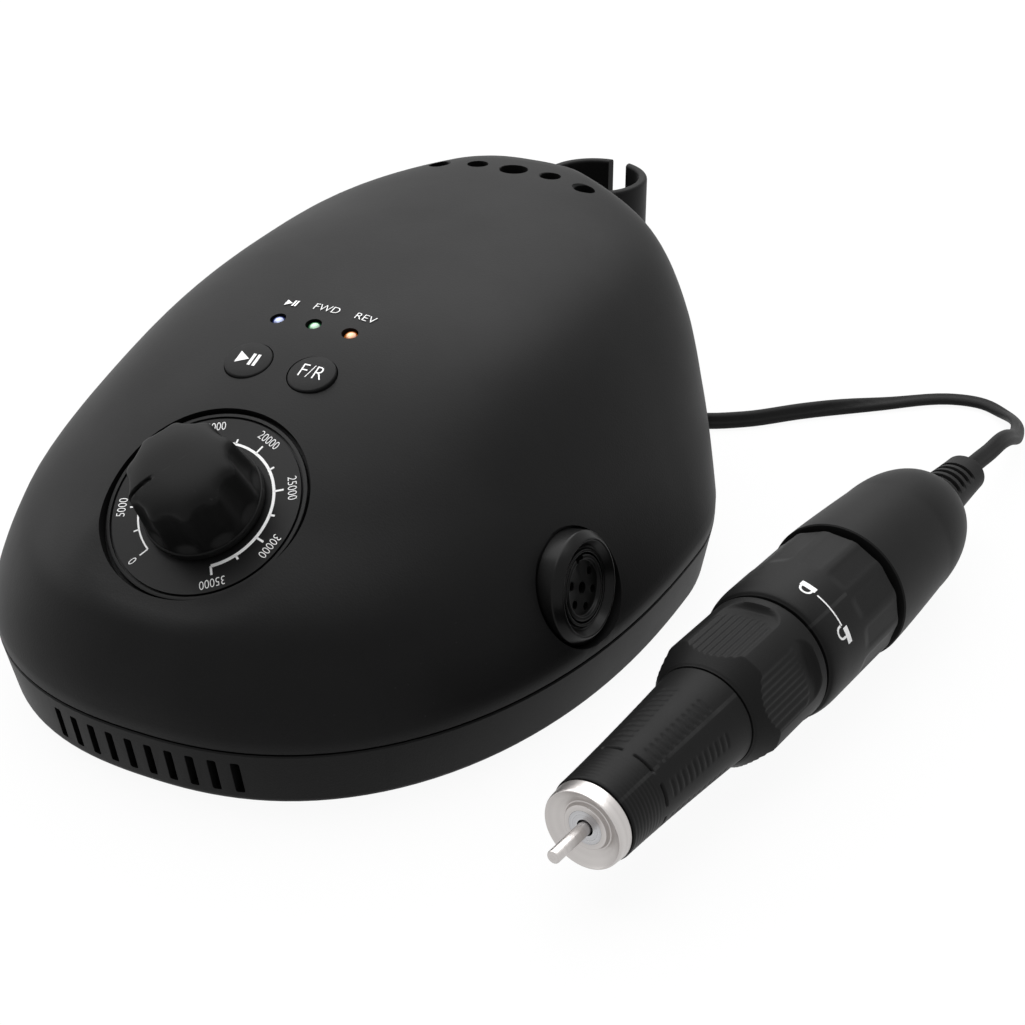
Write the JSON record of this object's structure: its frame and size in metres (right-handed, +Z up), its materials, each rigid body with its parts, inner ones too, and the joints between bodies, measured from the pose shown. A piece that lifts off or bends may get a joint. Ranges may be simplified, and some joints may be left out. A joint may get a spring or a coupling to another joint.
{
  "type": "electric nail drill",
  "caption": "Desk nail drill: domed control unit with a speed dial, keys, bit holes and a rear rest, and a corded handpiece with a twist-lock chuck lying beside it.",
  "frame": {"origin": "on the surface that the feet and the handpiece stand on, under the middle of the box of the control unit and handpiece without the cord, its coil and its plug", "axes": "+Z up, -Y towards the user (the dial end), +Y towards the rest, +X towards the handpiece side"},
  "size_m": [0.205, 0.215, 0.0656],
  "materials": {
    "case_black": "satin black moulding",
    "trim_black": "black moulding with a soft shine",
    "dial_face": "printed plate",
    "grip_black": "fine matt black",
    "rubber_black": "matt",
    "steel": "turned",
    "brass": "turned",
    "aluminium": "extruded",
    "board_green": "lacquered board",
    "lens_blue": "lit lens",
    "lens_green": "lit lens",
    "lens_orange": "lit lens"
  },
  "bodies": {
    "control_unit": {"upper_shell": "case_black", "base_tray": "case_black", "foot_1": "rubber_black", "foot_2": "rubber_black", "foot_3": "rubber_black", "foot_4": "rubber_black", "case_screw_1": "steel", "case_screw_2": "steel", "case_screw_3": "steel", "case_screw_4": "steel", "handpiece_rest": "case_black", "driver_board": "board_green", "heat_sink": "aluminium", "capacitor_left": "trim_black", "capacitor_right": "trim_black", "dial_plate": "dial_face", "potentiometer": "steel", "potentiometer_nut": "brass", "control_board": "board_green", "start_switch": "trim_black", "direction_switch": "trim_black", "lamp_power": "lens_blue", "lamp_forward": "lens_green", "lamp_reverse": "lens_orange", "socket_ring": "trim_black", "socket_insert": "trim_black", "supply_jack": "trim_black", "rocker_frame": "trim_black"},
    "speed_knob": {"speed_knob": "trim_black"},
    "start_button": {"start_button": "case_black"},
    "direction_button": {"direction_button": "case_black"},
    "power_rocker": {"power_rocker": "trim_black"},
    "handpiece": {"nose_cap": "steel", "front_grip": "grip_black", "faceted_collar": "grip_black", "rear_housing": "grip_black", "motor": "steel", "bearing_front": "steel", "bearing_rear": "steel", "strain_relief": "rubber_black", "cord": "rubber_black", "cord_coil": "rubber_black", "plug_body": "rubber_black", "plug_shell": "steel", "plug_contacts": "trim_black"},
    "lock_ring": {"lock_ring": "grip_black"},
    "spindle": {"spindle": "steel"},
    "collet": {"collet": "steel"},
    "bit_shank": {"bit_shank": "steel"}
  },
  "joints": [
    {"name": "knob_turn", "type": "hinge", "parent": "control_unit", "child": "speed_knob", "pos_m": [-0.02389, -0.07735, 0.04612], "axis": [0, 0.5446, -0.8387], "range_deg": [0, 298]},
    {"name": "start_press", "type": "slide", "parent": "control_unit", "child": "start_button", "axis": [0, 0.3323, -0.9432], "range_m": [0, 0.0007], "stiffness_N_per_m": 600, "springref_m": -0.001},
    {"name": "direction_press", "type": "slide", "parent": "control_unit", "child": "direction_button", "axis": [0, 0.3323, -0.9432], "range_m": [0, 0.0007], "stiffness_N_per_m": 600, "springref_m": -0.001},
    {"name": "rocker_tilt", "type": "hinge", "parent": "control_unit", "child": "power_rocker", "pos_m": [-0.00389, 0.05162, 0.03], "axis": [1, 0, 0], "range_deg": [0, 19]},
    {"name": "handpiece_lift", "type": "slide", "parent": "control_unit", "child": "handpiece", "axis": [0, 0, 1], "range_m": [0, 0.15]},
    {"name": "lock_ring_twist", "type": "hinge", "parent": "handpiece", "child": "lock_ring", "pos_m": [0.05561, -0.09445, 0.0144], "axis": [0.1719, 0.9851, 0], "range_deg": [0, 45]},
    {"name": "spindle_spin", "type": "hinge", "parent": "handpiece", "child": "spindle", "pos_m": [0.05561, -0.09445, 0.0144], "axis": [0.1719, 0.9851, 0], "continuous": true},
    {"name": "collet_slide", "type": "slide", "parent": "spindle", "child": "collet", "axis": [-0.1719, -0.9851, 0], "range_m": [0, 0.0008]},
    {"name": "bit_pull", "type": "slide", "parent": "collet", "child": "bit_shank", "axis": [-0.1719, -0.9851, 0], "range_m": [0, 0.03]}
  ],
  "couplings": [
    {"joint": "collet_slide", "follows": "lock_ring_twist", "m_per_rad": 0.001}
  ]
}
